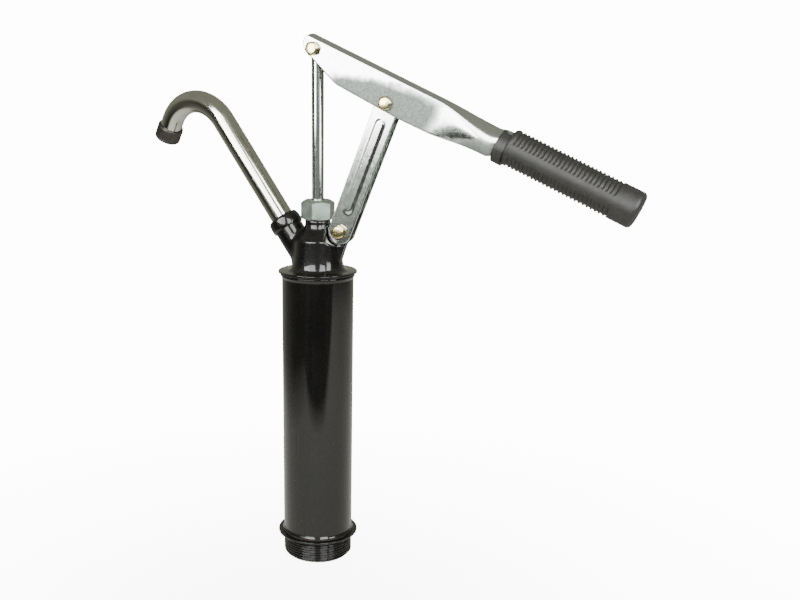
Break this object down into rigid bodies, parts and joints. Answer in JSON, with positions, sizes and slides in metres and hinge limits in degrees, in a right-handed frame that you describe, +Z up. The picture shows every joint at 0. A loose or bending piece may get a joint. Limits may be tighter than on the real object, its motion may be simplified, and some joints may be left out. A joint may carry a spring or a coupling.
{
  "type": "lever-action drum pump",
  "caption": "Upright lever-action piston pump for a drum: threaded base, tall cylinder, bell-shaped head with gland nut, linked lever with ribbed grip, and swan-neck spout.",
  "frame": {"origin": "on the pump's axis, in the plane of the bottom flange's underside, where the pump rests on a drum's bung boss", "axes": "+Z up along the cylinder, +X from the cylinder towards the hand grip in the plane of the lever, +Y to the far side of the lever"},
  "size_m": [0.4248, 0.0696, 0.4426],
  "materials": {
    "black_paint": "gloss black paint on steel",
    "zinc_plate": "bright zinc plate with a fine crystal grain",
    "chrome_plate": "bright plated, faint scratches",
    "yellow_zinc": "pale yellow zinc plate",
    "grip_rubber": "charcoal moulded grip, ribbed, satin",
    "black_plastic": "black, knurled",
    "brass": "turned brass",
    "seal_rubber": "black oil-resistant rubber",
    "gasket": "brown fibre"
  },
  "bodies": {
    "pump_body": {"cylinder_tube": "black_paint", "bung_adapter": "black_paint", "base_gasket": "gasket", "foot_valve_seat": "brass", "foot_valve_cage": "brass", "head_casting": "black_paint", "head_gasket": "gasket", "packing_washer": "brass", "gland_packing": "gasket", "gland_follower": "brass", "gland_nut": "zinc_plate", "strap_pivot_bolt": "yellow_zinc", "strap_pivot_nut": "yellow_zinc", "outlet_collar": "black_paint", "spout_seal": "seal_rubber"},
    "foot_valve": {"foot_valve_seal": "seal_rubber", "foot_valve_disc": "brass"},
    "spout": {"spout_tube": "chrome_plate", "spout_end_ring": "black_plastic"},
    "piston": {"piston_rod": "chrome_plate", "piston_body": "brass", "piston_cup": "seal_rubber", "cup_follower": "brass", "piston_washer": "zinc_plate", "piston_nut": "zinc_plate", "piston_valve_stop": "brass", "piston_stop_clip": "zinc_plate"},
    "piston_valve": {"piston_valve_disc": "seal_rubber"},
    "straps": {"link_strap_front": "zinc_plate", "link_strap_rear": "zinc_plate"},
    "lever": {"lever_channel": "zinc_plate", "hand_grip": "grip_rubber", "rod_pivot_bolt": "yellow_zinc", "rod_pivot_nut": "yellow_zinc", "rod_washer_front": "zinc_plate", "rod_washer_rear": "zinc_plate", "fulcrum_bolt": "yellow_zinc", "fulcrum_nut": "yellow_zinc", "fulcrum_spacer": "zinc_plate"}
  },
  "joints": [
    {"name": "piston_slide", "type": "slide", "parent": "pump_body", "child": "piston", "axis": [0, 0, -1], "range_m": [0, 0.0664]},
    {"name": "lever_swing", "type": "hinge", "parent": "piston", "child": "lever", "pos_m": [0, 0, 0.4103], "axis": [0, -1, 0], "range_deg": [0, 50]},
    {"name": "strap_swing", "type": "hinge", "parent": "pump_body", "child": "straps", "pos_m": [0.022, 0, 0.2675], "axis": [0, 1, 0], "range_deg": [0, 7.7]},
    {"name": "foot_valve_lift", "type": "slide", "parent": "pump_body", "child": "foot_valve", "axis": [0, 0, 1], "range_m": [0, 0.0045]},
    {"name": "piston_valve_lift", "type": "slide", "parent": "piston", "child": "piston_valve", "axis": [0, 0, 1], "range_m": [0, 0.004]},
    {"name": "spout_swivel", "type": "hinge", "parent": "pump_body", "child": "spout", "pos_m": [0, 0, 0.2292], "axis": [-0.5779, 0, 0.8161], "continuous": true}
  ],
  "couplings": [
    {"joint": "piston_slide", "follows": "lever_swing", "m_per_rad": 0.07605},
    {"joint": "strap_swing", "follows": "lever_swing", "ratio": 0.1516}
  ]
}
